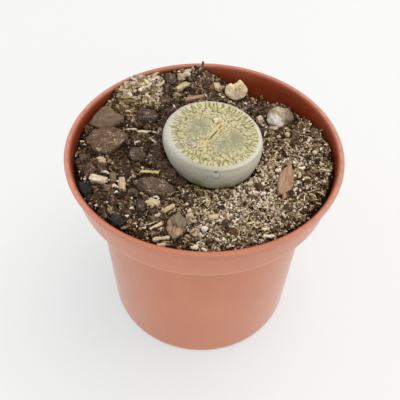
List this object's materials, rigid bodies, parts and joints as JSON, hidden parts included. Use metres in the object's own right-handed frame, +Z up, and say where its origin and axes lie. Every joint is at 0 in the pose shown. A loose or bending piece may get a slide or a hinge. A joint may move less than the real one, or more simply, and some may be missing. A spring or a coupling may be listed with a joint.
{
  "type": "potted lithops",
  "caption": "Living-stone plant with a patterned flat face, in a small round plastic nursery pot filled with gritty potting mix and bark.",
  "frame": {"origin": "middle of the pot's base, on the surface that it stands on", "axes": "+Z up, +X to the right and +Y away from a viewer in front"},
  "size_m": [0.0644, 0.0644, 0.056],
  "materials": {
    "pot_plastic": "satin",
    "soil": "matte",
    "plant": "waxy matte",
    "bark": "matte",
    "bark_dark": "matte",
    "wood": "matte",
    "straw": "matte",
    "dry_leaf": "matte",
    "stone": "matte"
  },
  "bodies": {
    "root": {"pot": "pot_plastic", "soil": "soil", "lithops": "plant", "bark_grey_slab": "bark", "bark_brown_slab": "bark", "bark_dark_ridge": "bark_dark", "bark_dark_back": "bark_dark", "bark_knob": "bark_dark", "bark_rough_slab": "bark", "bark_round": "bark_dark", "bark_black_flake": "bark_dark", "bark_round_front": "bark_dark", "bark_black_front": "bark_dark", "wood_chip_tan": "wood", "wood_chip_left": "wood", "wood_chip_upright": "wood", "wood_chip_olive": "wood", "wood_chip_cream": "straw", "wood_chip_front": "wood", "wood_block_pale": "straw", "wood_chip_orange": "wood", "straw_left": "straw", "straw_yellow": "straw", "straw_diagonal": "straw", "straw_front_upper": "straw", "straw_front_lower": "straw", "straw_back": "wood", "chip_yellow_back": "wood", "flake_leaf": "dry_leaf", "flake_folded": "bark", "stone_mottled": "stone", "stone_white": "stone", "stone_yellow_left": "stone", "stone_yellow_right": "stone", "shard_pale": "straw", "grit_back": "stone", "stem_back": "bark_dark"}
  },
  "joints": []
}
